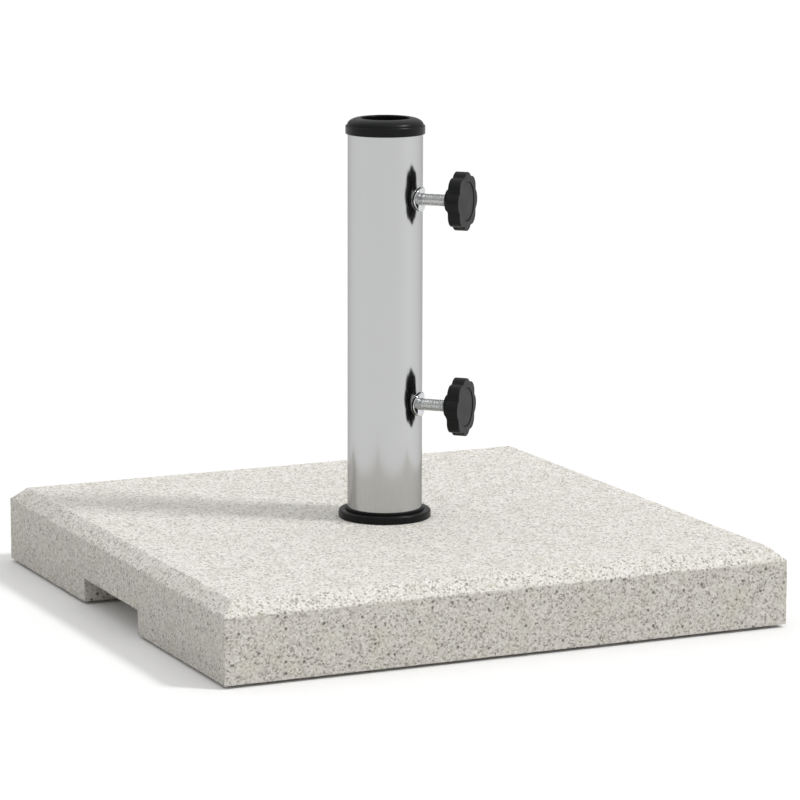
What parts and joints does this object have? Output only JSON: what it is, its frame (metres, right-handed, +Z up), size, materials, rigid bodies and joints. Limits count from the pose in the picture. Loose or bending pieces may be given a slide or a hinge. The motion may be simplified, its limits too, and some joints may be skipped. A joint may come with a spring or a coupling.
{
  "type": "parasol base",
  "caption": "Square granite parasol base with a central stainless tube, a cap that guides the pole, a cover ring at its foot and hand screws that clamp the pole.",
  "frame": {"origin": "on the ground, directly under the centre of the slab and the axis of the stand tube", "axes": "+Z up along the stand tube; X and Y along the slab's edges, with the finger notches under the -X and +X faces; both clamp screws point half-way between +X and -Y"},
  "size_m": [0.4, 0.4, 0.3264],
  "materials": {
    "granite": "flamed, light grey-cream with fine dark and olive specks",
    "stainless_steel": "satin polished",
    "zinc_plated_steel": "bright zinc plated",
    "plain_steel": "plain turned steel",
    "black_plastic": "satin moulded black",
    "knob_plastic": "finely textured moulded black",
    "rubber": "matt",
    "nylon": "natural nylon"
  },
  "bodies": {
    "base": {"granite_slab": "granite", "front_left_foot_pad": "rubber", "front_right_foot_pad": "rubber", "back_left_foot_pad": "rubber", "back_right_foot_pad": "rubber", "tube_foot": "plain_steel", "stand_tube": "stainless_steel", "base_cover_ring": "black_plastic", "top_cap": "black_plastic", "flat_washer": "zinc_plated_steel", "spring_washer": "zinc_plated_steel", "centre_bolt": "zinc_plated_steel", "lower_threaded_insert": "zinc_plated_steel", "upper_threaded_insert": "zinc_plated_steel"},
    "lower_pad": {"lower_pressure_pad": "nylon"},
    "lower_knob": {"lower_clamp_screw": "zinc_plated_steel", "lower_knob_grip": "knob_plastic", "lower_knob_cap": "knob_plastic"},
    "upper_pad": {"upper_pressure_pad": "nylon"},
    "upper_knob": {"upper_clamp_screw": "zinc_plated_steel", "upper_knob_grip": "knob_plastic", "upper_knob_cap": "knob_plastic"}
  },
  "joints": [
    {"name": "lower_screw_travel", "type": "slide", "parent": "base", "child": "lower_pad", "axis": [0.7071, -0.7071, 0], "range_m": [-0.01625, 0.005]},
    {"name": "lower_screw_turn", "type": "hinge", "parent": "lower_pad", "child": "lower_knob", "pos_m": [0.035, -0.035, 0.133], "axis": [0.7071, -0.7071, 0], "range_deg": [-4680, 1440]},
    {"name": "upper_screw_travel", "type": "slide", "parent": "base", "child": "upper_pad", "axis": [0.7071, -0.7071, 0], "range_m": [-0.01625, 0.005]},
    {"name": "upper_screw_turn", "type": "hinge", "parent": "upper_pad", "child": "upper_knob", "pos_m": [0.035, -0.035, 0.2725], "axis": [0.7071, -0.7071, 0], "range_deg": [-4680, 1440]}
  ],
  "couplings": [
    {"joint": "lower_screw_travel", "follows": "lower_screw_turn", "m_per_rad": 0.00019894},
    {"joint": "upper_screw_travel", "follows": "upper_screw_turn", "m_per_rad": 0.00019894}
  ]
}
